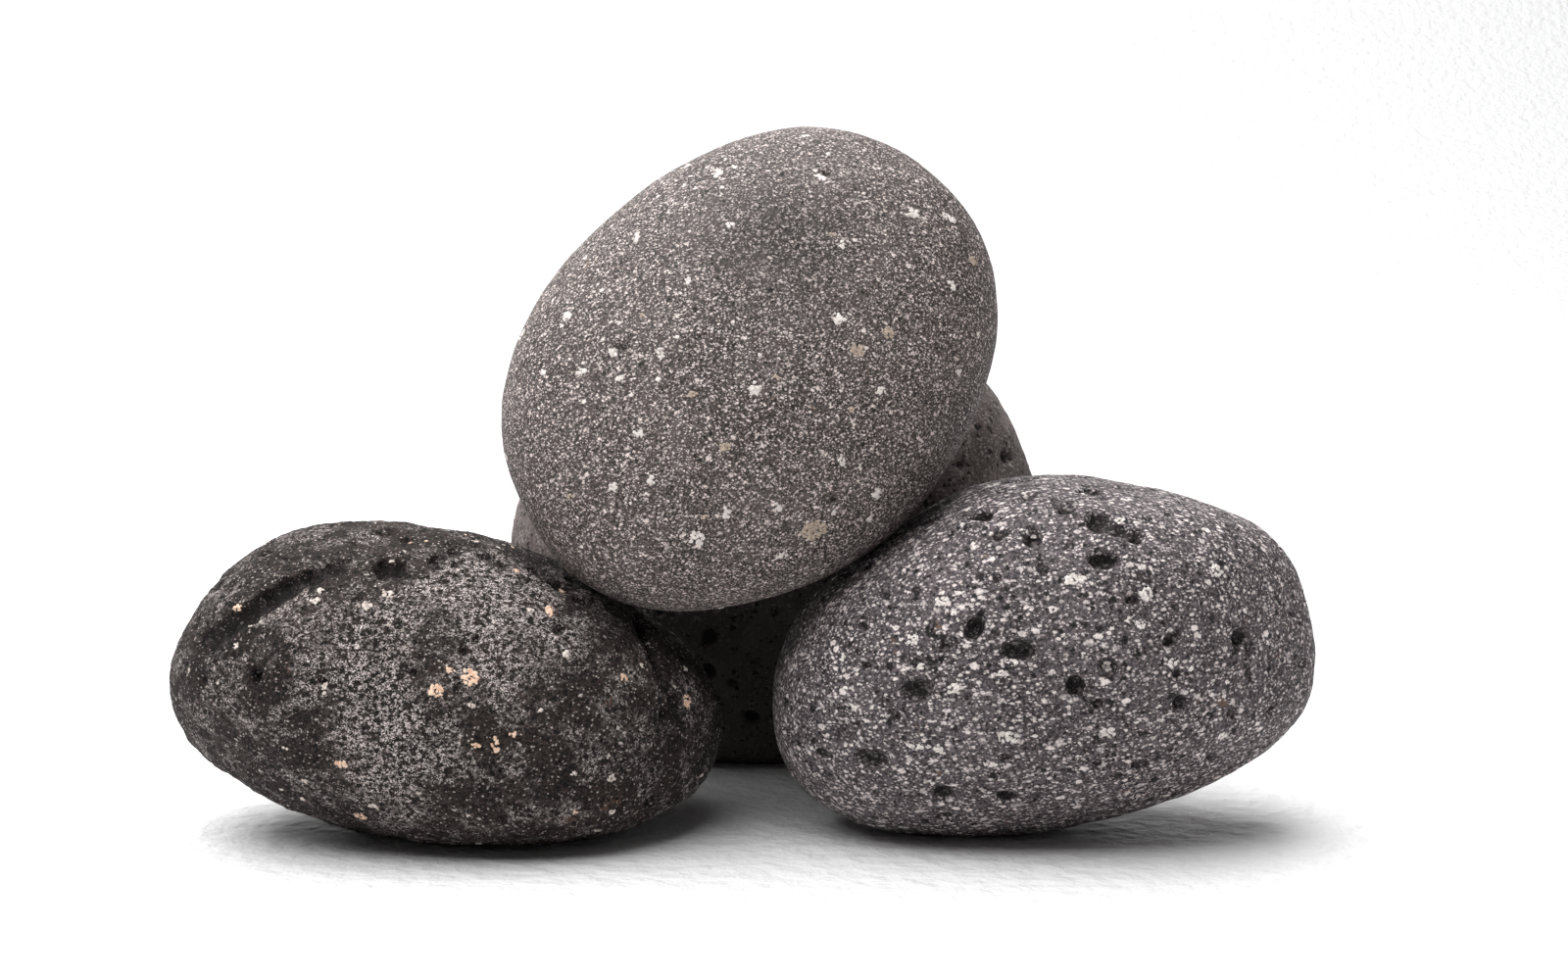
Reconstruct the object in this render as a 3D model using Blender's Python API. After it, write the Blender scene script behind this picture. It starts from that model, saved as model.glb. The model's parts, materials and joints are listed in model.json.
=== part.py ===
"""Basalt massage stones: a pile of four smooth pebbles that are warmed and laid on the body.

Two long stones lie side by side, a third stands on its long edge behind the space between
them, and a flatter one leans in the nest that the three make. Metres, +Z up. The origin is
the middle of the pile's box, on the surface that it stands on.

Every stone is described in its own axes before it is turned: X along its length, Y through
it from front to back, Z up. Azimuths turn from +X towards +Y and elevations rise towards +Z.
"""

import math
from collections import namedtuple

import bmesh
import bpy
from mathutils import Matrix, Vector
from mathutils.bvhtree import BVHTree

# What separates neighbouring stones, and the flats that they stand on
STONE_GAP = 0.0003
FRONT_SPACE = 0.0075
FRONT_REST_WEAR = 0.001
BACK_REST_WEAR = 0.0015

# How far the back stone stands to the right of the middle of the front space
BACK_OFFSET = 0.004

# Sharpness of the turn from the round body to a worn face: 2 is very soft, 20 is a crease
WEAR_SHARPNESS = 6.0
SPHERE_SUBDIVISIONS = 4

# A search that moves a stone against its neighbours
SEARCH_STEPS = 40
LONGEST_STEP = 0.004
SETTLED = 0.000002

# size: length, thickness front to back, and height, before the stone is turned
# roll: degrees about Y, positive drops the +X end; tilt: degrees that its top leans back
# worn: (azimuth, elevation, reach) of each flatter face, with reach 1 at the round body
Stone = namedtuple("Stone", "name size roll tilt worn colour roughness")

LEFT_STONE = Stone(
    name="left_stone",
    size=(0.0816, 0.0560, 0.0462),
    roll=13.5,
    tilt=0.0,
    worn=[(0, -50, 0.70), (-20, 0, 0.68), (20, 0, 0.68), (0, 45, 0.82), (180, 8, 0.85)],
    colour=(0.060, 0.048, 0.044),
    roughness=0.80,
)
RIGHT_STONE = Stone(
    name="right_stone",
    size=(0.0814, 0.0540, 0.0526),
    roll=-16.5,
    tilt=0.0,
    worn=[(-20, 0, 0.68), (20, 0, 0.68), (0, 45, 0.60), (180, 60, 0.82), (180, 10, 0.85), (180, -40, 1.20)],
    colour=(0.140, 0.120, 0.118),
    roughness=0.78,
)
BACK_STONE = Stone(
    name="back_stone",
    size=(0.0870, 0.0420, 0.0780),
    roll=-3.0,
    tilt=-4.0,
    worn=[(0, 10, 1.00), (180, 20, 1.00), (-90, -30, 0.90), (90, 10, 0.95)],
    colour=(0.125, 0.104, 0.100),
    roughness=0.85,
)
TOP_STONE = Stone(
    name="top_stone",
    size=(0.0812, 0.0400, 0.0642),
    roll=-46.5,
    tilt=25.0,
    worn=[(0, -50, 1.15), (0, 0, 1.00), (180, 10, 0.95), (180, -40, 1.00)],
    colour=(0.180, 0.152, 0.143),
    roughness=0.72,
)

# Points and surface of a stone in its turned position, measured from its centre
Shell = namedtuple("Shell", "points tree")


def clear_scene():
    for item in list(bpy.data.objects):
        bpy.data.objects.remove(item, do_unlink=True)


def direction(azimuth, elevation):
    """Unit vector of an azimuth and an elevation in degrees."""
    around = math.radians(azimuth)
    up = math.radians(elevation)
    return Vector((math.cos(up) * math.cos(around), math.cos(up) * math.sin(around), math.sin(up)))


def worn_radius(ray, worn):
    """Distance to the surface along a ray, for a unit sphere blended with its worn faces."""
    gauge = 1.0
    for azimuth, elevation, reach in worn:
        towards_face = ray.dot(direction(azimuth, elevation)) / reach
        gauge += max(0.0, towards_face) ** WEAR_SHARPNESS
    return gauge ** (-1.0 / WEAR_SHARPNESS)


def fit_to_size(mesh, size):
    """Centre a bmesh and stretch it to exactly the given size."""
    for axis in range(3):
        low = min(vertex.co[axis] for vertex in mesh.verts)
        high = max(vertex.co[axis] for vertex in mesh.verts)
        for vertex in mesh.verts:
            vertex.co[axis] = (vertex.co[axis] - (low + high) / 2) * size[axis] / (high - low)


def stone_material(stone):
    material = bpy.data.materials.new(stone.name + "_basalt")
    material.use_nodes = True
    shader = material.node_tree.nodes["Principled BSDF"]
    shader.inputs["Base Color"].default_value = (*stone.colour, 1.0)
    shader.inputs["Roughness"].default_value = stone.roughness
    shader.inputs["Metallic"].default_value = 0.0
    return material


def add_stone(stone):
    """Make a whole pebble, turned as it lies, with its centre at the world's origin."""
    pebble = bmesh.new()
    bmesh.ops.create_icosphere(pebble, subdivisions=SPHERE_SUBDIVISIONS, radius=1.0)
    for vertex in pebble.verts:
        ray = vertex.co.normalized()
        vertex.co = ray * worn_radius(ray, stone.worn)
    fit_to_size(pebble, stone.size)
    bmesh.ops.recalc_face_normals(pebble, faces=pebble.faces)
    mesh = bpy.data.meshes.new(stone.name)
    pebble.to_mesh(mesh)
    pebble.free()
    mesh.materials.append(stone_material(stone))
    mesh.shade_smooth()
    item = bpy.data.objects.new(stone.name, mesh)
    bpy.context.scene.collection.objects.link(item)
    turn = Matrix.Rotation(math.radians(-stone.tilt), 3, "X")
    turn = turn @ Matrix.Rotation(math.radians(stone.roll), 3, "Y")
    item.rotation_euler = turn.to_euler()
    return item


def turned_points(item):
    turn = item.rotation_euler.to_matrix()
    return [turn @ vertex.co for vertex in item.data.vertices]


def stand_on_floor(item, wear):
    """Sink a stone by its wear and cut it level, so that it stands on a real flat."""
    item.location.z = -min(point.z for point in turned_points(item)) - wear
    back_turn = item.rotation_euler.to_matrix().transposed()
    pebble = bmesh.new()
    pebble.from_mesh(item.data)
    cut = bmesh.ops.bisect_plane(
        pebble,
        geom=list(pebble.verts) + list(pebble.edges) + list(pebble.faces),
        plane_co=back_turn @ Vector((0.0, 0.0, -item.location.z)),
        plane_no=back_turn @ Vector((0.0, 0.0, -1.0)),
        clear_outer=True,
    )
    rim = [part for part in cut["geom_cut"] if isinstance(part, bmesh.types.BMEdge)]
    bmesh.ops.contextual_create(pebble, geom=rim)
    bmesh.ops.recalc_face_normals(pebble, faces=pebble.faces)
    pebble.to_mesh(item.data)
    pebble.free()
    item.data.shade_smooth()
    item.data.set_sharp_from_angle(angle=math.radians(25))


def side_extent(item, side):
    """World X of a stone's end on one side, -1 for left or +1 for right."""
    return item.location.x + side * max(side * point.x for point in turned_points(item))


def shell_of(item):
    """Sample a stone's corners, edges and faces, and index its faces for distances."""
    corners = turned_points(item)
    faces = [tuple(face.vertices) for face in item.data.polygons]
    middles = [(corners[edge.vertices[0]] + corners[edge.vertices[1]]) / 2 for edge in item.data.edges]
    centres = [sum((corners[index] for index in face), Vector()) / len(face) for face in faces]
    return Shell(corners + middles + centres, BVHTree.FromPolygons(corners, faces))


def nearest(points, shift, tree):
    """Smallest signed distance from shifted points to a surface, and the way out of it."""
    closest = None
    for point in points:
        moved = point + shift
        spot, normal, _, distance = tree.find_nearest(moved)
        signed = math.copysign(distance, (moved - spot).dot(normal))
        if closest is None or signed < closest[0]:
            closest = (signed, normal)
    return closest


def gap_between(mover, place, neighbour, neighbour_place):
    """Gap between two stones, and the direction that moves the mover straight away."""
    shift = place - neighbour_place
    ahead = nearest(mover.points, shift, neighbour.tree)
    behind = nearest(neighbour.points, -shift, mover.tree)
    if behind[0] < ahead[0]:
        return behind[0], -behind[1]
    return ahead


def push_back_until_clear(item, neighbours):
    """Move a stone along Y until its nearest neighbour is one gap away."""
    mover = shell_of(item)
    others = [(shell_of(other), other.location.copy()) for other in neighbours]
    for _ in range(SEARCH_STEPS):
        gaps = [gap_between(mover, item.location, shell, place) for shell, place in others]
        gap, away = min(gaps, key=lambda found: found[0])
        if abs(gap - STONE_GAP) < SETTLED:
            return
        step = (STONE_GAP - gap) / max(away.y, 0.2)
        item.location.y += max(-LONGEST_STEP, min(LONGEST_STEP, step))


def lean_on(item, neighbours):
    """Move a stone, without turning it, until it is one gap away from three neighbours."""
    mover = shell_of(item)
    others = [(shell_of(other), other.location.copy()) for other in neighbours]
    for _ in range(SEARCH_STEPS):
        gaps = [gap_between(mover, item.location, shell, place) for shell, place in others]
        missing = Vector([STONE_GAP - gap for gap, _ in gaps])
        if missing.length < SETTLED:
            return
        step = Matrix([away for _, away in gaps]).inverted() @ missing
        if step.length > LONGEST_STEP:
            step.length = LONGEST_STEP
        item.location += step


def centre_pile(items):
    """Move all the stones so that the origin is the middle of the pile's footprint."""
    for axis in (0, 1):
        places = [item.location[axis] + point[axis] for item in items for point in turned_points(item)]
        middle = (min(places) + max(places)) / 2
        for item in items:
            item.location[axis] -= middle


def build_pile():
    left = add_stone(LEFT_STONE)
    stand_on_floor(left, FRONT_REST_WEAR)
    left.location.x -= side_extent(left, 1) + FRONT_SPACE / 2

    right = add_stone(RIGHT_STONE)
    stand_on_floor(right, FRONT_REST_WEAR)
    right.location.x -= side_extent(right, -1) - FRONT_SPACE / 2

    back = add_stone(BACK_STONE)
    stand_on_floor(back, BACK_REST_WEAR)
    back.location.x = BACK_OFFSET
    back.location.y = (LEFT_STONE.size[1] + BACK_STONE.size[1]) / 2
    push_back_until_clear(back, [left, right])

    top = add_stone(TOP_STONE)
    top.location.z = LEFT_STONE.size[2] + TOP_STONE.size[0] / 2
    lean_on(top, [left, right, back])

    centre_pile([left, right, back, top])


clear_scene()
build_pile()
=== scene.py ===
"""A pile of four basalt massage stones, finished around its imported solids.

Metres, +Z up. The stones come in the order in which they are laid: the one that stands at
the back, the two long ones in front of it, and the flat one that leans on all three.
"""

import json
import math
import random

import bpy
from mathutils import Matrix, Vector
from mathutils.bvhtree import BVHTree

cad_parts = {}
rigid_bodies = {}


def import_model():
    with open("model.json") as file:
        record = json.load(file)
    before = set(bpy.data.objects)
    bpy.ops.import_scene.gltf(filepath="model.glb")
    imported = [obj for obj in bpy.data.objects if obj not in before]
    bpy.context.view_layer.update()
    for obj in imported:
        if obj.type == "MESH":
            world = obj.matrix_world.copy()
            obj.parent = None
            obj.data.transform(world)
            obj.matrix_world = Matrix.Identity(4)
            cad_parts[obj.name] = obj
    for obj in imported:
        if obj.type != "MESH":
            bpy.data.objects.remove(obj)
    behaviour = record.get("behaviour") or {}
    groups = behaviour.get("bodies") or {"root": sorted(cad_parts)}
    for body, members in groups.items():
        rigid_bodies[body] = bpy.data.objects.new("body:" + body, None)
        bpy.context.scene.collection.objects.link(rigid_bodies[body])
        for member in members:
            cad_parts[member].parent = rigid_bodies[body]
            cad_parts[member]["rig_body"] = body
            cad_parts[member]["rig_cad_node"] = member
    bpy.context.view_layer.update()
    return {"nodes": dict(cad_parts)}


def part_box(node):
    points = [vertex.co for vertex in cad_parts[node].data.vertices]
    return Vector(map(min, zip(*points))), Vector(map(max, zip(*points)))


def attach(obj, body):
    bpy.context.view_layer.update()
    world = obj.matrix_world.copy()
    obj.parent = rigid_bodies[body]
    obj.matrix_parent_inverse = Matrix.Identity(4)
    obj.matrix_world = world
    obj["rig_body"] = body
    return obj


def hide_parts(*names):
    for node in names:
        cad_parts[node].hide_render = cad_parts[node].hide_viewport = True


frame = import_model()
bpy.ops.object.select_all(action="DESELECT")

MM = 0.001

# ---------------------------------------------------------------------------------------
# Back stone: a broad grey-brown pebble that stands on its long edge behind the others.
# Basalt rolled smooth in water, with a dull skin, soft dark clouds and many small gas pits.
# The skin follows its solid, pits are cut into it, and fine relief is raised all over.
# ---------------------------------------------------------------------------------------


def only(item):
    bpy.ops.object.select_all(action="DESELECT")
    item.select_set(True)
    bpy.context.view_layer.objects.active = item


def finish_with(item, kind, **settings):
    """Add one modifier to a piece and apply it."""
    modifier = item.modifiers.new(kind.lower(), kind)
    for name, value in settings.items():
        setattr(modifier, name, value)
    only(item)
    bpy.ops.object.modifier_apply(modifier=modifier.name)


def smooth_body(stone, name):
    """Copy a stone's solid, close its corners and round its facets."""
    item = frame["nodes"][stone].copy()
    item.data = item.data.copy()
    item.name = item.data.name = name
    item.parent = None
    del item["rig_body"], item["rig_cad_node"]
    bpy.context.scene.collection.objects.link(item)
    item.data.materials.clear()
    only(item)
    bpy.ops.object.mode_set(mode="EDIT")
    bpy.ops.mesh.select_all(action="SELECT")
    bpy.ops.mesh.remove_doubles(threshold=0.01 * MM)
    bpy.ops.mesh.customdata_custom_splitnormals_clear()
    bpy.ops.object.mode_set(mode="OBJECT")
    finish_with(item, "SUBSURF", levels=2, render_levels=2)
    return item


def skin_of(item):
    """Index a smooth body's faces, to find places on them."""
    corners = [corner.co.copy() for corner in item.data.vertices]
    return BVHTree.FromPolygons(corners, [tuple(face.vertices) for face in item.data.polygons])


def middle_of(stone):
    low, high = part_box(stone)
    return (low + high) / 2


def on_front(skin, stone, across, up):
    """Place and outward normal at so many millimetres right of and above the front's middle."""
    middle = middle_of(stone)
    start = Vector((middle.x + across * MM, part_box(stone)[0].y - 0.1, middle.z + up * MM))
    place, normal, _, _ = skin.ray_cast(start, Vector((0, 1, 0)))
    return place, normal


TRIES_PER_PLACE = 4
FLOOR_CLEARANCE = 1.2
NEIGHBOUR_CLEARANCE = 0.62


def scattered(skin, stone, count, width_of, draw, taken):
    """Random places all over a stone, each kept clear of the floor and of those already taken."""
    middle = middle_of(stone)
    found = []
    for _ in range(count * TRIES_PER_PLACE):
        if len(found) == count:
            break
        way = Vector([draw.gauss(0, 1) for _ in range(3)]).normalized()
        place, normal, _, _ = skin.ray_cast(middle, way)
        width = width_of(draw)
        if place is None or place.z < FLOOR_CLEARANCE * width:
            continue
        if all(
            (place - other).length > NEIGHBOUR_CLEARANCE * (width + reach) for other, reach in taken
        ):
            taken.append((place, width))
            found.append((place, normal, width))
    return found


def seat(place, normal, along, sizes):
    """Matrix that lays a unit shape on a skin: sizes are along, across and through it."""
    along = (along - normal * along.dot(normal)).normalized()
    turn = Matrix((along, normal.cross(along), normal)).transposed()
    stretch = Matrix.Diagonal(Vector(sizes) / 2)
    return Matrix.Translation(place) @ (turn @ stretch).to_4x4()


def rough_ball(seed, subdivisions, wobble):
    """A lumpy unit ball, the start of every pit and crystal."""
    bpy.ops.mesh.primitive_ico_sphere_add(subdivisions=subdivisions, radius=1, location=(0, 0, 0))
    ball = bpy.context.object
    bpy.ops.object.mode_set(mode="EDIT")
    bpy.ops.mesh.select_all(action="SELECT")
    bpy.ops.transform.vertex_random(offset=wobble, uniform=0.0, normal=0.0, seed=seed)
    bpy.ops.object.mode_set(mode="OBJECT")
    return ball


def copies_of(patterns, seats, name):
    """One piece made of a copy of the next pattern at each seat."""
    copies = []
    for number, matrix in enumerate(seats):
        copy = patterns[number % len(patterns)].copy()
        copy.data = copy.data.copy()
        copy.data.transform(matrix)
        bpy.context.scene.collection.objects.link(copy)
        copies.append(copy)
    only(copies[0])
    for copy in copies:
        copy.select_set(True)
    bpy.ops.object.join()
    joined = bpy.context.object
    joined.name = joined.data.name = name
    return joined


MAIN_BUBBLE = 0.88
SIDE_BUBBLES = 2
SIDE_DISTANCE = 0.6


def merged_bubble(seed):
    """A bubble with smaller ones run into its side, as most gas pits are."""
    draw = random.Random(seed)
    bubbles = [(Vector((0, 0, 0)), MAIN_BUBBLE)]
    for _ in range(SIDE_BUBBLES):
        angle = draw.uniform(0, 2 * math.pi)
        aside = Vector((math.cos(angle), math.sin(angle), draw.uniform(-0.3, 0.1)))
        bubbles.append((aside * SIDE_DISTANCE, draw.uniform(0.35, 0.6)))
    balls = [rough_ball(seed, 3, 0.05)]
    seats = [Matrix.Translation(place) @ Matrix.Scale(size, 4) for place, size in bubbles]
    bubble = copies_of(balls, seats, "bubble")
    bpy.data.objects.remove(balls[0], do_unlink=True)
    finish_with(bubble, "REMESH", mode="VOXEL", voxel_size=0.2)
    finish_with(bubble, "SMOOTH", factor=0.5, iterations=2)
    return bubble


PIT_BALLS = [merged_bubble(seed) for seed in (1, 2, 3, 4, 5)]
CRYSTAL_BALLS = [rough_ball(seed, 1, 0.3) for seed in (6, 7, 8, 9, 10)]


def reach_of(matrix):
    """Radius of the ball that holds a seated shape."""
    return max(matrix.col[axis].xyz.length for axis in range(3)) * 1.3


def clear_of(matrix, others):
    """Whether a seated shape meets none of the others."""
    return all(
        (matrix.translation - other.translation).length > reach_of(matrix) + reach_of(other)
        for other in others
    )


def cut_pits(item, seats):
    """Cut a pit into a body at every seat, in turns in which no two cutters meet."""
    turns = []
    for matrix in seats:
        for turn in turns:
            if clear_of(matrix, turn):
                turn.append(matrix)
                break
        else:
            turns.append([matrix])
    for turn in turns:
        cutter = copies_of(PIT_BALLS, turn, "pit_cutter")
        finish_with(item, "BOOLEAN", operation="DIFFERENCE", solver="MANIFOLD", object=cutter)
        bpy.data.objects.remove(cutter, do_unlink=True)
    item.data.materials.clear()


def clouds(name, size):
    texture = bpy.data.textures.new(name, "CLOUDS")
    texture.noise_scale = size
    texture.noise_depth = 2
    return texture


def raise_relief(item, voxel, reliefs):
    """Remesh a pitted body evenly and give it its lumps and its coarse grain."""
    finish_with(item, "REMESH", mode="VOXEL", voxel_size=voxel)
    finish_with(item, "SMOOTH", factor=0.5, iterations=1)
    for size, height in reliefs:
        texture = clouds(f"{item.name}_relief", size)
        finish_with(
            item, "DISPLACE",
            texture=texture, strength=height, mid_level=0.5, texture_coords="LOCAL",
        )
    for corner in item.data.vertices:
        corner.co.z = max(0.0, corner.co.z)
    item.data.shade_smooth()


def mark_hollows(item, skin, shallow, deep):
    """Store how far each point lies below the smooth body, from 0 at shallow to 1 at deep."""
    hollow = item.data.attributes.new("hollow", "FLOAT", "POINT")
    for corner, mark in zip(item.data.vertices, hollow.data):
        spot, normal, _, distance = skin.find_nearest(corner.co)
        below = -distance if (corner.co - spot).dot(normal) > 0 else distance
        mark.value = min(1.0, max(0.0, (below - shallow) / (deep - shallow)))


def node(tree, kind, inputs=None, **settings):
    """Add a shader node; an input is a plain value or another node's output."""
    made = tree.nodes.new("ShaderNode" + kind)
    for name, value in settings.items():
        setattr(made, name, value)
    for name, value in (inputs or {}).items():
        if isinstance(value, bpy.types.NodeSocket):
            tree.links.new(value, made.inputs[name])
        else:
            made.inputs[name].default_value = value
    return made


def maths(tree, operation, first, second):
    return node(tree, "Math", {0: first, 1: second}, operation=operation).outputs[0]


def noise(tree, vector, scale, detail, roughness=0.5):
    inputs = {"Vector": vector, "Scale": scale, "Detail": detail, "Roughness": roughness}
    return node(tree, "TexNoise", inputs).outputs


def rising(tree, value, low, high):
    """Soft step of a value, from 0 at low to 1 at high."""
    inputs = {"Value": value, "From Min": low, "From Max": high}
    return node(tree, "MapRange", inputs, interpolation_type="SMOOTHSTEP").outputs[0]


# Sockets of a Mix node that are in use when it mixes colours
MIX_SHARE, MIX_FIRST, MIX_SECOND, MIX_RESULT = 0, 6, 7, 2


def blended(tree, share, first, second):
    """Mix two colours by a share from 0 to 1."""
    inputs = {MIX_SHARE: share, MIX_FIRST: first, MIX_SECOND: second}
    return node(tree, "Mix", inputs, data_type="RGBA").outputs[MIX_RESULT]


def new_group(name, inputs, outputs):
    """Start a shader node group with its named sockets; returns its tree and its two ends."""
    group = bpy.data.node_groups.new(name, "ShaderNodeTree")
    for label, kind in inputs:
        group.interface.new_socket(label, in_out="INPUT", socket_type=kind)
    for label in outputs:
        group.interface.new_socket(label, in_out="OUTPUT", socket_type="NodeSocketFloat")
    given = group.nodes.new("NodeGroupInput").outputs
    out = group.nodes.new("NodeGroupOutput").inputs
    return group, given, out


def spots_group():
    """Spots set at random in the stone, for crystals and for pinholes.

    Share is how many cells hold one, Size its radius as a part of a cell. Tone differs
    from spot to spot.
    """
    tree, given, out = new_group(
        "stone_spots",
        [("Vector", "NodeSocketVector"), ("Per Metre", "NodeSocketFloat"),
         ("Share", "NodeSocketFloat"), ("Size", "NodeSocketFloat"),
         ("Raggedness", "NodeSocketFloat")],
        ["Mask", "Tone"],
    )
    ragged_scale = maths(tree, "MULTIPLY", given["Per Metre"], 2.6)
    wander = noise(tree, given["Vector"], ragged_scale, 1.0)["Color"]
    offset = node(tree, "VectorMath", {0: wander, 1: (0.5, 0.5, 0.5)}, operation="SUBTRACT")
    reach = maths(tree, "DIVIDE", given["Raggedness"], given["Per Metre"])
    offset = node(tree, "VectorMath", {0: offset.outputs[0], "Scale": reach}, operation="SCALE")
    moved = node(
        tree, "VectorMath", {0: given["Vector"], 1: offset.outputs[0]}, operation="ADD"
    )
    cells = node(tree, "TexVoronoi", {"Vector": moved.outputs[0], "Scale": given["Per Metre"]})
    picks = node(tree, "SeparateColor", {"Color": cells.outputs["Color"]}).outputs
    held = maths(tree, "LESS_THAN", picks["Red"], given["Share"])
    growth = maths(tree, "ADD", maths(tree, "MULTIPLY", picks["Green"], 0.55), 0.45)
    radius = maths(tree, "MULTIPLY", given["Size"], growth)
    rim = maths(tree, "MULTIPLY", radius, 1.15)
    core = maths(tree, "MULTIPLY", radius, 0.75)
    inside = rising(tree, cells.outputs["Distance"], rim, core)
    tree.links.new(maths(tree, "MULTIPLY", inside, held), out["Mask"])
    tree.links.new(picks["Blue"], out["Tone"])
    return tree


def patches_group():
    """Fine pale dust caught in the grain: thick in some areas, and gone from others and pores."""
    tree, given, out = new_group(
        "stone_dust",
        [("Vector", "NodeSocketVector"), ("Per Metre", "NodeSocketFloat"),
         ("Cover", "NodeSocketFloat"), ("Grain Per Metre", "NodeSocketFloat")],
        ["Mask"],
    )
    area = noise(tree, given["Vector"], given["Per Metre"], 4.0, 0.65)["Fac"]
    lace = noise(tree, given["Vector"], given["Grain Per Metre"], 2.0, 0.8)["Fac"]
    pore_scale = maths(tree, "MULTIPLY", given["Grain Per Metre"], 0.27)
    pores = noise(tree, given["Vector"], pore_scale, 2.0, 0.7)["Fac"]
    spread = rising(tree, maths(tree, "ADD", area, given["Cover"]), 0.54, 0.86)
    threads = rising(tree, lace, 0.46, 0.60)
    threads = maths(tree, "MULTIPLY", threads, rising(tree, pores, 0.42, 0.54))
    tree.links.new(maths(tree, "MULTIPLY", spread, threads), out["Mask"])
    return tree


SPOTS = spots_group()
PATCHES = patches_group()


def spots(tree, vector, per_mm, share, size, ragged):
    values = {
        "Vector": vector, "Per Metre": per_mm / MM, "Share": share, "Size": size,
        "Raggedness": ragged,
    }
    return node(tree, "Group", values, node_tree=SPOTS).outputs


def patches(tree, vector, per_mm, cover, grain_per_mm):
    values = {
        "Vector": vector, "Per Metre": per_mm / MM, "Cover": cover,
        "Grain Per Metre": grain_per_mm / MM,
    }
    return node(tree, "Group", values, node_tree=PATCHES).outputs["Mask"]


def faded_area(tree, place, centre, radius):
    """Soft round area on a stone, from 1 at its centre to 0 at its radius."""
    apart = node(tree, "VectorMath", {0: place, 1: centre}, operation="DISTANCE").outputs["Value"]
    return rising(tree, apart, radius, 0.2 * radius)


# Pits are darkened by their depth: partly dirt in them, partly painted shade
PIT_DIRT_AND_SHADE_COLOUR = (0.008, 0.006, 0.006, 1)
PIT_DIRT_AND_SHADE_STRENGTH = 0.78
# Pinholes are painted near black: partly their dark lining, partly painted shade
PINHOLE_LINING_AND_SHADE_COLOUR = (0.006, 0.005, 0.005, 1)
PINHOLE_LINING_AND_SHADE_STRENGTH = 0.88
STAIN_STRENGTH = 0.65
DULL_SPECULAR = 0.25


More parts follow.
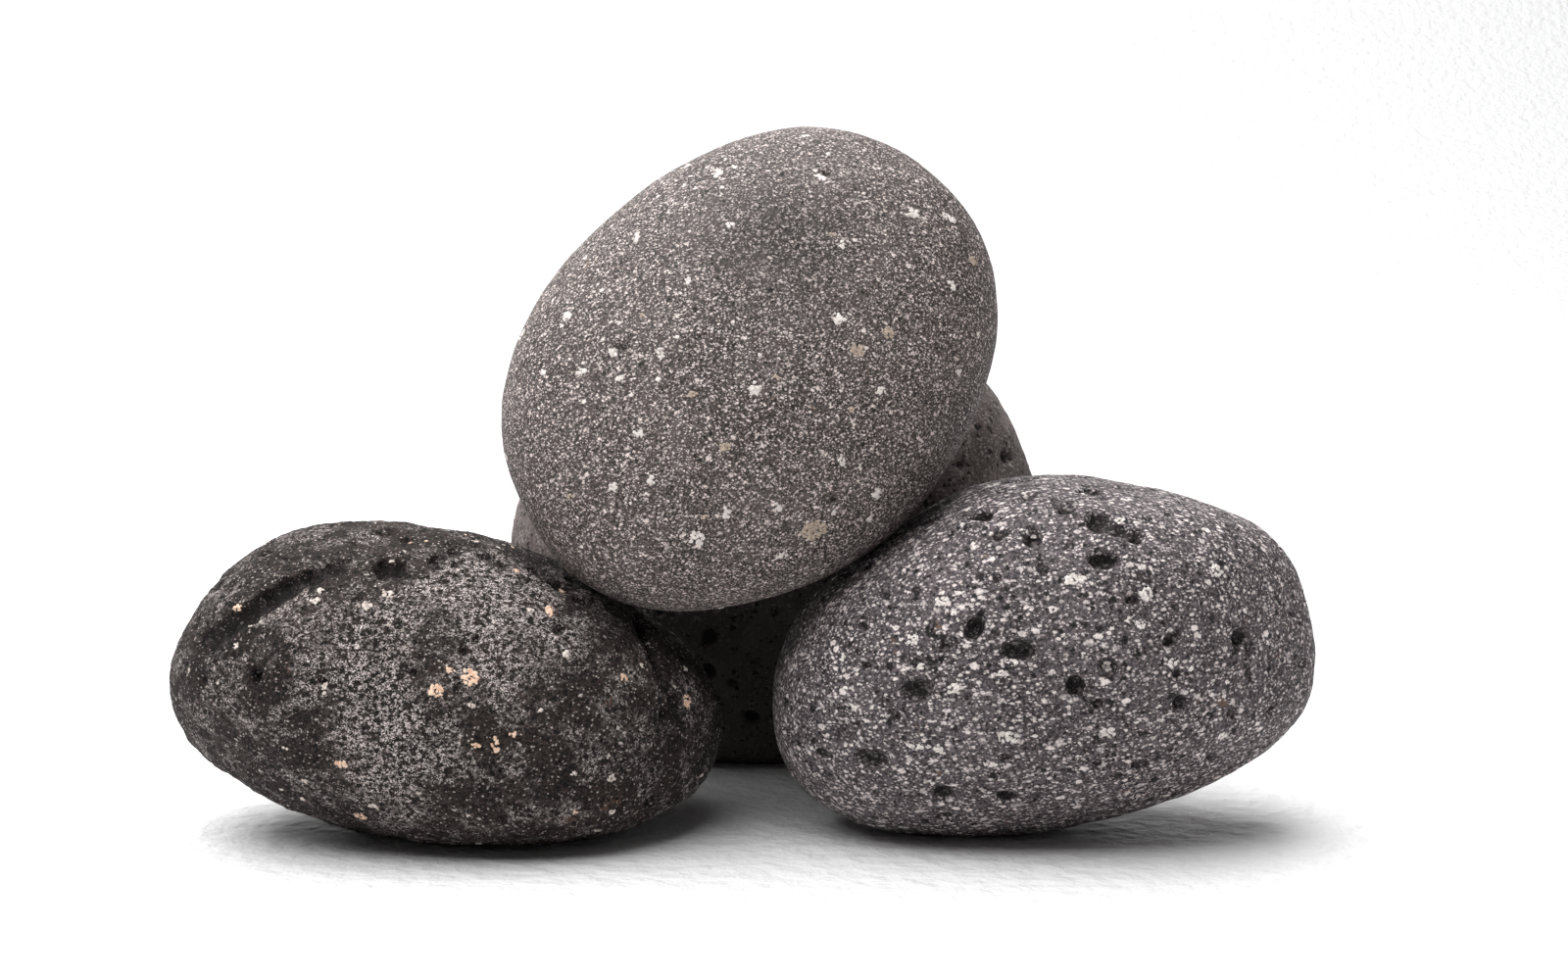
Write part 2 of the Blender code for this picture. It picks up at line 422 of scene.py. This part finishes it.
def basalt(
    name, middle, turn, stretch, dark, pale, crystal_dim, crystal_bright, clouding, grain_per_mm,
    grit, flecks, pinholes, stains, ragged=0.9, dust=None, shadows=(), roughness=0.8, relief=0.5,
):
    """Material of one basalt stone.

    dark and pale are the colours of its ground mass. flecks are layers of crystals, each
    (cells per mm, share, size, strength), lengthened by stretch along the stone, which lies
    turned by turn degrees. pinholes are (cells per mm, share, size), and stains are the same
    with a colour. dust is the cover, grain and colour of pale dust, with areas that hold more
    of it: (centre, radius, extra cover). shadows are darker areas: (centre, radius, strength).
    relief is how far its fine grain stands up, in mm.
    """
    material = bpy.data.materials.new(name)
    material.use_nodes = True
    tree = material.node_tree
    shader = tree.nodes["Principled BSDF"]
    here = node(tree, "TexCoord").outputs["Object"]
    settle = node(tree, "Mapping", {"Vector": here, "Location": -middle}).outputs[0]
    lengthwise = node(
        tree, "Mapping",
        {"Vector": settle, "Rotation": (0, math.radians(turn), 0), "Scale": (1 / stretch, 1, 1)},
    ).outputs[0]

    area = noise(tree, settle, 0.09 / MM, 5.0, 0.6)["Fac"]
    grain = noise(tree, settle, grain_per_mm / MM, 2.0, 0.8)["Fac"]
    mottle = maths(tree, "MULTIPLY", maths(tree, "SUBTRACT", area, 0.5), clouding)
    mottled = maths(tree, "ADD", grain, mottle)
    ground = node(
        tree, "MapRange", {"Value": mottled, "From Min": 0.40, "From Max": 0.64}
    ).outputs[0]
    colour = blended(tree, ground, (*dark, 1), (*pale, 1))
    height = maths(tree, "MULTIPLY", grain, grit)
    for per_mm, share, size, stain_colour in stains:
        stain = spots(tree, settle, per_mm, share, size, 1.4)
        stained = maths(tree, "MULTIPLY", stain["Mask"], STAIN_STRENGTH)
        colour = blended(tree, stained, colour, (*stain_colour, 1))
    for per_mm, share, size, strength in flecks:
        crystal = spots(tree, lengthwise, per_mm, share, size, ragged)
        glint = maths(tree, "MULTIPLY", maths(tree, "SUBTRACT", grain, 0.36), 2.5)
        tone = maths(tree, "ADD", maths(tree, "MULTIPLY", crystal["Tone"], 0.75), glint)
        face = blended(tree, tone, (*crystal_dim, 1), (*crystal_bright, 1))
        colour = blended(tree, maths(tree, "MULTIPLY", crystal["Mask"], strength), colour, face)
        height = maths(tree, "ADD", height, maths(tree, "MULTIPLY", crystal["Mask"], 0.1))
    if dust:
        cover = dust["cover"]
        for centre, radius, extra in dust["areas"]:
            more = maths(tree, "MULTIPLY", faded_area(tree, here, centre, radius), extra)
            cover = maths(tree, "ADD", more, cover)
        dusty = patches(tree, lengthwise, dust["per_mm"], cover, dust["grain_per_mm"])
        colour = blended(tree, dusty, colour, (*dust["colour"], 1))
    for centre, radius, strength in shadows:
        shadow = maths(tree, "MULTIPLY", faded_area(tree, here, centre, radius), strength)
        colour = blended(tree, shadow, colour, (*(0.45 * part for part in dark), 1))
    # Pinholes are too small to cut and are painted near black: partly dark lining, partly painted
    # shade
    for per_mm, share, size in pinholes:
        hole = spots(tree, settle, per_mm, share, size, 0.8)["Mask"]
        colour = blended(tree, maths(tree, "MULTIPLY", hole, PINHOLE_LINING_AND_SHADE_STRENGTH), colour, PINHOLE_LINING_AND_SHADE_COLOUR)
        height = maths(tree, "SUBTRACT", height, maths(tree, "MULTIPLY", hole, 0.7))
    # Pits darken with depth below the smooth body: partly dirt, partly painted shade
    hollow = node(tree, "Attribute", attribute_name="hollow").outputs["Fac"]
    colour = blended(tree, maths(tree, "MULTIPLY", hollow, PIT_DIRT_AND_SHADE_STRENGTH), colour, PIT_DIRT_AND_SHADE_COLOUR)
    tree.links.new(colour, shader.inputs["Base Color"])
    rough = node(
        tree, "MapRange",
        {"Value": grain, "From Min": 0.3, "From Max": 0.7,
         "To Min": roughness - 0.12, "To Max": roughness + 0.1},
    )
    tree.links.new(rough.outputs[0], shader.inputs["Roughness"])
    shader.inputs["Specular IOR Level"].default_value = DULL_SPECULAR
    bump = node(tree, "Bump", {"Height": height, "Strength": 1.0, "Distance": relief * MM})
    tree.links.new(bump.outputs[0], shader.inputs["Normal"])
    return material


# A cutter is wider than its pit, because the remesh closes the rim, and half of it is outside
CUTTER_WIDTH = 1.3
CUTTER_DEPTH = 2.2
STEEPEST_SLOPE = 0.42


def slopes(normal):
    """How much narrower and lower a patch of skin looks from the front than it is."""
    return [max(STEEPEST_SLOPE, math.sqrt(1 - lean * lean)) for lean in (normal.x, normal.z)]


def pit_seats(skin, stone, pits):
    """Seats for pits listed on the front: across, up, width, height, depth in mm."""
    seats = []
    for across, up, width, height, depth in pits:
        place, normal = on_front(skin, stone, across, up)
        if place is None:
            continue
        across_slope, up_slope = slopes(normal)
        sizes = (
            CUTTER_WIDTH * width * MM / across_slope,
            CUTTER_WIDTH * height * MM / up_slope,
            CUTTER_DEPTH * depth * MM,
        )
        seats.append((place, seat(place, normal, Vector((1, 0, 0)), sizes)))
    return seats


def crease_seats(skin, stone, path, width, depth):
    """Seats that run into one another along a path of front places, so that they make a crease."""
    seats = []
    for first, second in zip(path, path[1:]):
        start, _ = on_front(skin, stone, *first)
        end, _ = on_front(skin, stone, *second)
        place, normal, _, _ = skin.find_nearest((start + end) / 2)
        sizes = (1.9 * (end - start).length, width * MM, CUTTER_DEPTH * depth * MM)
        seats.append((place, seat(place, normal, end - start, sizes)))
    return seats


def random_pits(skin, stone, count, smallest, largest, seed, taken):
    """Seats for gas pits set at random all over a stone, most of them small."""
    def width_of(source):
        return (smallest + (largest - smallest) * source.random() ** 3) * MM

    draw = random.Random(seed)
    seats = []
    for place, normal, width in scattered(skin, stone, count, width_of, draw, taken):
        along = Vector([draw.gauss(0, 1) for _ in range(3)])
        long_side = 1.25 * width
        sizes = (long_side, long_side * draw.uniform(0.55, 0.95), width * draw.uniform(0.9, 1.8))
        seats.append(seat(place, normal, along, sizes))
    return seats


def crystal_material(name, first, second, patch_per_mm, roughness=0.45):
    """Grains of one mineral, mixed from two tints."""
    material = bpy.data.materials.new(name)
    material.use_nodes = True
    tree = material.node_tree
    shader = tree.nodes["Principled BSDF"]
    here = node(tree, "TexCoord").outputs["Object"]
    grains = node(tree, "TexVoronoi", {"Vector": here, "Scale": patch_per_mm / MM})
    pick = node(tree, "SeparateColor", {"Color": grains.outputs["Color"]}).outputs["Red"]
    fine = noise(tree, here, 5.0 / MM, 2.0)["Fac"]
    mix = maths(tree, "ADD", maths(tree, "MULTIPLY", pick, 0.7), maths(tree, "MULTIPLY", fine, 0.4))
    tree.links.new(blended(tree, mix, (*first, 1), (*second, 1)), shader.inputs["Base Color"])
    rough = node(
        tree, "MapRange", {"Value": pick, "To Min": roughness - 0.12, "To Max": roughness + 0.15}
    )
    tree.links.new(rough.outputs[0], shader.inputs["Roughness"])
    bump = node(tree, "Bump", {"Height": fine, "Strength": 0.8, "Distance": 0.1 * MM})
    tree.links.new(bump.outputs[0], shader.inputs["Normal"])
    return material


SMALLEST_CRYSTAL = 0.7
CLUSTER_SPREAD = 0.45
CLUSTER_FILL = 0.9
CRYSTAL_SINK = 0.06
CRYSTAL_THICKNESS = 0.45


def set_crystals(
    name, stone, item, skin, chosen, scatter_count, largest, seed, material, grain_width
):
    """Clusters of grains bedded in a stone's finished surface, some listed, some at random.

    chosen holds those on the front: across, up, width, height in mm.
    """
    def width_of(source):
        return (SMALLEST_CRYSTAL + (largest - SMALLEST_CRYSTAL) * source.random() ** 2) * MM

    draw = random.Random(seed)
    surface = skin_of(item)
    beds = []
    for across, up, width, height in chosen:
        place, normal = on_front(surface, stone, across, up)
        if place is not None:
            across_slope, up_slope = slopes(normal)
            beds.append((place, width * MM / across_slope, height * MM / up_slope))
    taken = [(place, 2 * width) for place, width, _ in beds]
    for place, _, width in scattered(surface, stone, scatter_count, width_of, draw, taken):
        beds.append((place, width, width * draw.uniform(0.5, 1.0)))
    seats = []
    for place, width, height in beds:
        normal = skin.find_nearest(place)[1]
        along = Vector((1, 0, 0)) - normal * normal.x
        over = normal.cross(along).normalized()
        along.normalize()
        grain_area = (0.5 * grain_width * MM) ** 2
        grains = max(1, round(width * height / grain_area * CLUSTER_FILL))
        for _ in range(grains):
            spread = 0 if grains == 1 else CLUSTER_SPREAD
            angle, reach = draw.uniform(0, 2 * math.pi), spread * math.sqrt(draw.random())
            aside = along * (math.cos(angle) * reach * width)
            above = over * (math.sin(angle) * reach * height)
            ground, _, _, _ = surface.find_nearest(place + aside + above)
            size = width
            if grains > 1:
                size = min(width, grain_width * MM) * draw.uniform(0.6, 1.1)
            turn = Vector([draw.gauss(0, 1) for _ in range(3)])
            sizes = (size, size * draw.uniform(0.5, 0.9), CRYSTAL_THICKNESS * MM)
            seats.append(seat(ground - normal * CRYSTAL_SINK * MM, normal, turn, sizes))
    crystals = copies_of(CRYSTAL_BALLS, seats, name)
    for corner in crystals.data.vertices:
        corner.co.z = max(0.0, corner.co.z)
    crystals.data.materials.clear()
    crystals.data.materials.append(material)
    return crystals


back = smooth_body("back_stone", "back_basalt_stone")
back_skin = skin_of(back)
cut_pits(back, random_pits(back_skin, "back_stone", 170, 0.9, 3.2, 11, []))
raise_relief(back, 0.5 * MM, [(9 * MM, 0.7 * MM), (1.5 * MM, 0.22 * MM)])
mark_hollows(back, back_skin, 0.25 * MM, 1.0 * MM)
BACK_SHADOW = on_front(back_skin, "back_stone", -4, -22)[0]
back.data.materials.append(
    basalt(
        "grey_brown_basalt_skin", middle_of("back_stone"), 3, 1.3,
        dark=(0.085, 0.070, 0.066), pale=(0.212, 0.178, 0.169), crystal_dim=(0.20, 0.17, 0.16),
        crystal_bright=(0.45, 0.40, 0.37), clouding=1.2, grain_per_mm=2.0, grit=0.25,
        flecks=[(2.2, 0.4, 0.55, 0.6), (0.9, 0.2, 0.5, 0.7)],
        pinholes=[(1.3, 0.2, 0.5), (0.6, 0.15, 0.42)],
        stains=[(0.12, 0.25, 0.35, (0.17, 0.11, 0.09))], roughness=0.85,
        shadows=[(BACK_SHADOW, 34 * MM, 0.85)],
    )
)
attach(back, "back")
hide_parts("back_stone")

# ---------------------------------------------------------------------------------------
# Left stone: a long, very dark pebble of rough scoria-like basalt, finely pitted all over.
# A trough runs along its upper left and a crease down its right end. Pale dust stays in its
# grain, and clusters of peach and cream crystals stand in it.
# ---------------------------------------------------------------------------------------

LEFT_BAND = [
    (-32, 8.5, 3.6, 4.5, 1.8), (-29.5, 10.5, 4.2, 3.2, 1.8), (-26.5, 12.4, 4.2, 3.0, 2.0),
    (-23.5, 14.4, 4.2, 2.8, 2.0), (-20.5, 16.2, 4.2, 2.6, 2.0), (-17.3, 17.6, 4.2, 2.2, 1.8),
    (-14, 18.6, 3.6, 1.8, 1.5),
]
LEFT_PITS = [
    (-7.2, 18.5, 2.6, 2.2, 2.0), (-5.0, 18.5, 2.6, 2.2, 2.0), (0, 19.2, 2.2, 1.4, 1.5),
    (2.4, 20, 1.8, 1.4, 1.2), (6.5, 19.2, 2.2, 1.1, 1.2), (8.9, 18.4, 3.3, 1.4, 1.4),
    (13.7, 16.9, 2.2, 1.1, 1.0), (4.5, 3.7, 1.4, 1.4, 1.2), (-8, 22.3, 3.2, 0.9, 1.0),
    (17.5, 15, 3.2, 1.2, 1.2), (21, 13, 2.6, 1.1, 1.0), (-12.5, 19.5, 2.0, 1.2, 1.0),
    (3.5, 17.5, 1.4, 1.0, 0.9), (11.5, 15.5, 1.2, 0.9, 0.8), (-21, 5, 1.2, 1.0, 0.9),
    (-33, 3, 1.4, 1.2, 0.9),
]
LEFT_CREASE = [(28, 9.7), (29.8, 7.4), (31.2, 5), (32.4, 2.4), (33.8, -0.4), (35.2, -3.6)]
LEFT_RECESS = [(34, 7.5, 3.2, 5, 0.9), (35.6, 3.5, 3.2, 5.5, 0.9)]

left = smooth_body("left_stone", "left_basalt_stone")
left_skin = skin_of(left)
LEFT_DUST = [
    (on_front(left_skin, "left_stone", across, up)[0], radius * MM, extra)
    for across, up, radius, extra in ((10, 14, 17, 0.26), (-9, 8, 13, 0.18), (-5, -6, 14, 0.22))
]
left_chosen = pit_seats(left_skin, "left_stone", LEFT_BAND + LEFT_PITS + LEFT_RECESS)
left_chosen += crease_seats(left_skin, "left_stone", LEFT_CREASE, 2.4, 1.7)
left_taken = [(place, 1.5 * MM) for place, _ in left_chosen]
left_random = random_pits(left_skin, "left_stone", 260, 0.8, 2.6, 21, left_taken)
cut_pits(left, [matrix for _, matrix in left_chosen] + left_random)
raise_relief(left, 0.45 * MM, [(8 * MM, 1.0 * MM), (2.6 * MM, 0.45 * MM), (1.1 * MM, 0.35 * MM)])
mark_hollows(left, left_skin, 0.3 * MM, 1.3 * MM)
left.data.materials.append(
    basalt(
        "dark_basalt_skin", middle_of("left_stone"), -13.5, 1.2,
        dark=(0.004, 0.0030, 0.0026), pale=(0.058, 0.042, 0.037), crystal_dim=(0.12, 0.10, 0.095),
        crystal_bright=(0.75, 0.66, 0.62), clouding=0.35, grain_per_mm=2.4, grit=0.8, relief=0.9,
        flecks=[(3.0, 0.22, 0.55, 0.8), (1.3, 0.05, 0.45, 0.9)],
        pinholes=[(1.8, 0.3, 0.5), (1.0, 0.34, 0.46)],
        dust={
            "cover": 0.11, "per_mm": 0.22, "grain_per_mm": 4.8, "colour": (0.90, 0.80, 0.77),
            "areas": LEFT_DUST,
        },
        stains=[(0.2, 0.06, 0.25, (0.14, 0.075, 0.055))], roughness=0.85,
    )
)
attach(left, "left")
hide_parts("left_stone")

LEFT_PEACH = [
    (1.5, 3.3, 2.2, 1.8), (6.2, 5.0, 2.7, 2.4), (3.7, 6.0, 1.9, 0.7), (9.7, -4.3, 1.2, 2.6),
    (7.1, -4.3, 1.6, 0.8), (36, -1.6, 1.2, 1.8), (16.6, 12.5, 1.2, 1.4), (-28, 13, 1.5, 1.0),
    (27.3, 3.5, 1.0, 1.1), (-12.3, -7.7, 2.0, 1.0),
]
LEFT_CREAM = [
    (-6, 15.6, 1.8, 1.0), (-8.8, 14.3, 1.5, 1.0), (-16.3, 14.7, 1.6, 0.8), (-15.7, 16, 1.1, 0.8),
    (-27.5, 8.3, 1.0, 0.8), (-8.2, -14.5, 1.8, 0.9), (25.6, -15.8, 1.0, 1.2),
    (23.3, -19.4, 1.1, 0.8), (25.6, -10.5, 1.2, 1.0), (-19, -14.4, 0.9, 0.8), (6.4, 1.1, 1.2, 0.8),
    (19.3, 7.4, 1.0, 0.9), (-14.3, 3.4, 0.9, 0.9),
]
left_peach = set_crystals(
    "left_stone_peach_crystals", "left_stone", left, left_skin, LEFT_PEACH, 14, 1.8, 22,
    crystal_material("peach_feldspar", (0.60, 0.31, 0.19), (0.97, 0.77, 0.60), 2.2), 0.75,
)
left_cream = set_crystals(
    "left_stone_cream_crystals", "left_stone", left, left_skin, LEFT_CREAM, 40, 1.3, 23,
    crystal_material("cream_feldspar", (0.48, 0.40, 0.35), (0.88, 0.80, 0.74), 2.0), 0.6,
)
for crystals in (left_peach, left_cream):
    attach(crystals, "left")

# ---------------------------------------------------------------------------------------
# Right stone: a long blue-grey pebble of vesicular basalt with open gas pits up to 5 mm.
# Pale feldspar laths lie all through it, and its worn skin cuts them flush.
# ---------------------------------------------------------------------------------------

RIGHT_PITS = [
    (-3.3, 25, 2.5, 1.2, 1.3), (6.2, 22.7, 3.6, 2.2, 2.4), (8.6, 21.8, 3.2, 1.6, 2.0),
    (11, 20.8, 3.0, 1.3, 1.4), (-8.2, 20.7, 1.9, 1.4, 1.4), (-3.5, 20.5, 2.7, 1.9, 2.0),
    (6.3, 18, 4.1, 2.2, 2.2), (1.8, 19.8, 1.6, 1.1, 1.0), (10.2, 12.6, 2.2, 1.4, 1.4),
    (13.5, 13.5, 1.1, 1.1, 1.0), (21.7, 12.7, 1.1, 1.1, 1.0), (-24, 11.7, 1.5, 1.3, 1.2),
    (-22.2, 14.3, 3.3, 2.2, 0.6), (-13.6, 16.5, 2.7, 1.4, 0.6), (-26.9, 2.5, 1.9, 1.4, 1.4),
    (-19.8, -0.5, 4.1, 3.3, 1.8), (-21.6, 3.8, 1.4, 1.1, 1.0), (-5.7, 5.5, 4.8, 2.7, 2.2),
    (-6.2, 8.4, 3.8, 2.2, 0.6), (1.9, 4.8, 1.1, 1.4, 1.0), (15.9, 6.8, 2.1, 2.0, 1.8),
    (26.4, 6.1, 2.6, 2.3, 2.0), (27.9, 4.3, 1.3, 1.4, 1.0), (21.8, 4.5, 1.4, 2.7, 0.6),
    (12.8, 5.7, 3.8, 2.7, 0.6), (5.6, -2.2, 2.1, 1.8, 1.6), (17.4, -2.6, 1.9, 1.8, 1.6),
    (-30.3, -7.5, 4.4, 3.8, 0.8), (-26.5, -11.2, 4.7, 2.5, 1.8), (-22.7, -4.5, 1.6, 1.4, 1.2),
    (4.2, -9, 1.7, 1.1, 1.1), (-7.2, -10.1, 2.3, 1.2, 1.3), (6.1, -11.7, 2.3, 1.1, 1.3),
    (12.3, -11.9, 3, 1.4, 1.4), (23.1, -12.1, 1.7, 1.2, 1.1), (-2.3, -16.8, 2, 1, 1),
    (-20.3, -16.8, 2.8, 1.1, 1.2), (-14.5, -20.7, 3.6, 1.1, 1.2), (31.8, -5.7, 1.4, 1.4, 1.2),
    (35.4, 7.8, 1.2, 1.2, 1.0),
]

right = smooth_body("right_stone", "right_basalt_stone")
right_skin = skin_of(right)
right_chosen = pit_seats(right_skin, "right_stone", RIGHT_PITS)
right_taken = [(place, 3 * MM) for place, _ in right_chosen]
right_random = random_pits(right_skin, "right_stone", 230, 0.8, 3.8, 31, right_taken)
cut_pits(right, [matrix for _, matrix in right_chosen] + right_random)
raise_relief(right, 0.45 * MM, [(10 * MM, 0.8 * MM), (1.6 * MM, 0.18 * MM)])
mark_hollows(right, right_skin, 0.3 * MM, 1.1 * MM)
right.data.materials.append(
    basalt(
        "blue_grey_basalt_skin", middle_of("right_stone"), 16.5, 1.5,
        dark=(0.024, 0.0200, 0.0220), pale=(0.172, 0.145, 0.155), crystal_dim=(0.17, 0.148, 0.152),
        crystal_bright=(0.92, 0.83, 0.80), clouding=0.2, grain_per_mm=2.1, grit=0.5, ragged=0.5,
        flecks=[(3.0, 0.45, 0.56, 0.70), (1.7, 0.42, 0.51, 0.85), (0.9, 0.30, 0.45, 0.92)],
        pinholes=[(1.1, 0.16, 0.5), (0.55, 0.12, 0.42)],
        stains=[(0.3, 0.10, 0.25, (0.17, 0.10, 0.065))], roughness=0.75,
    )
)
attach(right, "right")
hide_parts("right_stone")

RIGHT_WHITE = [
    (2.2, 15.5, 3.3, 1.6), (7.3, -6.4, 2.2, 1.6), (-7.1, -7, 3.2, 1.8), (-20.3, 6.6, 1.9, 1.5),
    (-19.3, 2.9, 1.2, 1.0), (-16.5, -9, 1.5, 1.4), (6.7, 3, 1.6, 1.5), (-14.8, 0, 1.9, 1.4),
    (16.1, 3.4, 1.2, 1.1), (-16.1, 11.9, 2.2, 1.1), (-9.3, -11.2, 2.2, 0.8), (9.1, 22.8, 1.4, 1.1),
    (-19.7, -8.9, 2.2, 0.7), (11.4, 9.2, 1.4, 1.2), (-8.3, 2.4, 1.4, 1.1),
]
right_white = set_crystals(
    "right_stone_white_crystals", "right_stone", right, right_skin, RIGHT_WHITE, 60, 2.4, 32,
    crystal_material("white_feldspar", (0.50, 0.45, 0.42), (0.94, 0.88, 0.84), 2.4), 0.8,
)
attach(right_white, "right")

# ---------------------------------------------------------------------------------------
# Top stone: a flat, smooth, fine-grained pebble, densely speckled with white crystals.
# Dense basalt, worn smoothest of the four, with only a few small pits.
# ---------------------------------------------------------------------------------------

TOP_PITS = [
    (11, 28.6, 1.9, 1.1, 1.0), (-18.3, 4.5, 2.7, 1.1, 1.0), (-18, -16.2, 1.4, 1.1, 1.0),
    (-25.8, 12, 0.9, 0.9, 0.8), (-31.4, -10, 0.9, 0.9, 0.8), (11.4, -20.3, 0.9, 0.9, 0.8),
]

top = smooth_body("top_stone", "top_basalt_stone")
top_skin = skin_of(top)
TOP_SHADOW = on_front(top_skin, "top_stone", 4, 19)[0]
top_chosen = pit_seats(top_skin, "top_stone", TOP_PITS)
top_taken = [(place, 4 * MM) for place, _ in top_chosen]
top_random = random_pits(top_skin, "top_stone", 26, 0.8, 1.8, 41, top_taken)
cut_pits(top, [matrix for _, matrix in top_chosen] + top_random)
raise_relief(top, 0.45 * MM, [(12 * MM, 0.5 * MM), (1.2 * MM, 0.07 * MM)])
mark_hollows(top, top_skin, 0.3 * MM, 0.9 * MM)
top.data.materials.append(
    basalt(
        "speckled_basalt_skin", middle_of("top_stone"), 46.5, 1.25,
        dark=(0.021, 0.0172, 0.0160), pale=(0.152, 0.126, 0.119), crystal_dim=(0.20, 0.165, 0.155),
        crystal_bright=(0.95, 0.83, 0.79), clouding=0.25, grain_per_mm=2.6, grit=0.35,
        flecks=[(4.4, 0.45, 0.58, 0.85), (2.5, 0.34, 0.52, 0.95), (1.3, 0.12, 0.45, 0.95)],
        pinholes=[(1.3, 0.06, 0.45)], shadows=[(TOP_SHADOW, 17 * MM, 0.35)],
        stains=[(0.3, 0.05, 0.2, (0.22, 0.14, 0.09))], roughness=0.7,
    )
)
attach(top, "top")
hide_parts("top_stone")

TOP_WHITE = [
    (-7.3, -21.9, 2.5, 2.1), (0.9, -1, 1.8, 2.1), (-3.1, -18.2, 1.2, 1.9), (-13.7, -13.7, 1.1, 1.2),
    (-4.8, 28.5, 1.6, 1.4), (-16.5, 19.5, 1.0, 1.6), (-19.4, 3.8, 1.6, 1.2), (-8.8, 13.7, 1.2, 1.1),
    (23.5, 23, 2.2, 1.8), (29.2, 22, 2.4, 1.1), (13.4, 18.7, 1.2, 1.0), (-29.6, 0.5, 1.0, 0.9),
    (-12.5, 3.7, 0.8, 1.8), (4.7, -24.9, 1.6, 0.8), (-18.4, 0.3, 1.2, 0.9), (30.2, 0.2, 1.1, 0.9),
]
TOP_TAN = [
    (9.3, -21.3, 4.2, 3.1), (15.5, 4.1, 2.1, 1.8), (19.8, 6.3, 1.8, 1.5), (32.6, 15.8, 1.3, 1.3),
    (-3.3, -9, 1.5, 1.5), (-7.9, -1.8, 1.3, 0.8), (-25.4, -16.5, 0.9, 0.9),
]
top_white = set_crystals(
    "top_stone_white_crystals", "top_stone", top, top_skin, TOP_WHITE, 60, 2.0, 42,
    bpy.data.materials["white_feldspar"], 0.8,
)
top_tan = set_crystals(
    "top_stone_tan_crusts", "top_stone", top, top_skin, TOP_TAN, 14, 2.2, 43,
    crystal_material("tan_crust", (0.22, 0.155, 0.115), (0.66, 0.55, 0.44), 3.2, 0.65), 0.6,
)
for crystals in (top_white, top_tan):
    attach(crystals, "top")

for ball in PIT_BALLS + CRYSTAL_BALLS:
    bpy.data.objects.remove(ball, do_unlink=True)

# ---------------------------------------------------------------------------------------
# Stage: a sheet of white board that runs up behind the pile, with soft light from a large
# window above. It isn't part of the pile.
# ---------------------------------------------------------------------------------------

SHEET_WIDTH = 4.0
SHEET_DEPTH = 3.0
SHEET_MIDDLE = -0.3
WALL_HEIGHT = 1.6
BEND_SIZE = 0.5
BEND_SEGMENTS = 24

bpy.ops.mesh.primitive_plane_add(size=1, location=(0, 0, 0))
board = bpy.context.object
board.name = "white_board"
board.data.transform(Matrix.Diagonal((SHEET_WIDTH, SHEET_DEPTH, 1, 1)))
board.data.transform(Matrix.Translation((0, SHEET_MIDDLE, 0)))
bpy.ops.object.mode_set(mode="EDIT")
bpy.ops.mesh.select_all(action="DESELECT")
bpy.ops.object.mode_set(mode="OBJECT")
for edge in board.data.edges:
    edge.select = all(board.data.vertices[end].co.y > 0 for end in edge.vertices)
bpy.ops.object.mode_set(mode="EDIT")
bpy.ops.mesh.select_mode(type="EDGE")
bpy.ops.mesh.extrude_region_move(TRANSFORM_OT_translate={"value": (0, 0, WALL_HEIGHT)})
bpy.ops.object.mode_set(mode="OBJECT")
for edge in board.data.edges:
    ends = [board.data.vertices[end].co for end in edge.vertices]
    edge.select = all(end.y > 0 and end.z < 0.01 for end in ends)
bpy.ops.object.mode_set(mode="EDIT")
bpy.ops.mesh.bevel(offset=BEND_SIZE, segments=BEND_SEGMENTS, affect="EDGES")
bpy.ops.object.mode_set(mode="OBJECT")
board.data.shade_smooth()

board_material = bpy.data.materials.new("white_board")
board_material.use_nodes = True
board_tree = board_material.node_tree
board_shader = board_tree.nodes["Principled BSDF"]
board_shader.inputs["Base Color"].default_value = (0.80, 0.80, 0.805, 1)
board_shader.inputs["Roughness"].default_value = 0.6
board_place = node(board_tree, "TexCoord").outputs["Object"]
board_grain = noise(board_tree, board_place, 0.28 / MM, 3.0)["Fac"]
board_bump = node(
    board_tree, "Bump", {"Height": board_grain, "Strength": 0.8, "Distance": 1.6 * MM}
)
board_tree.links.new(board_bump.outputs[0], board_shader.inputs["Normal"])
board.data.materials.append(board_material)

world = bpy.data.worlds.new("soft_room")
bpy.context.scene.world = world
world.use_nodes = True
world.node_tree.nodes["Background"].inputs["Color"].default_value = (1.0, 1.0, 1.0, 1)
world.node_tree.nodes["Background"].inputs["Strength"].default_value = 0.09

bpy.ops.object.light_add(type="AREA", location=(-0.25, 0.05, 0.95))
window = bpy.context.object
window.name = "window"
window.data.shape = "RECTANGLE"
window.data.size = 1.6
window.data.size_y = 1.2
window.data.energy = 31.0
window.rotation_euler = (Vector((0, 0, 0)) - window.location).to_track_quat("-Z", "Y").to_euler()

# Camera: just above the top of the pile, looking slightly down along its depth.
bpy.ops.object.camera_add(location=(0.00605, -0.4682, 0.114), rotation=(math.radians(82), 0, 0))
camera = bpy.context.object
camera.data.sensor_width = 36
camera.data.lens = 70.875
bpy.context.scene.camera = camera
bpy.context.scene.view_settings.view_transform = "Standard"
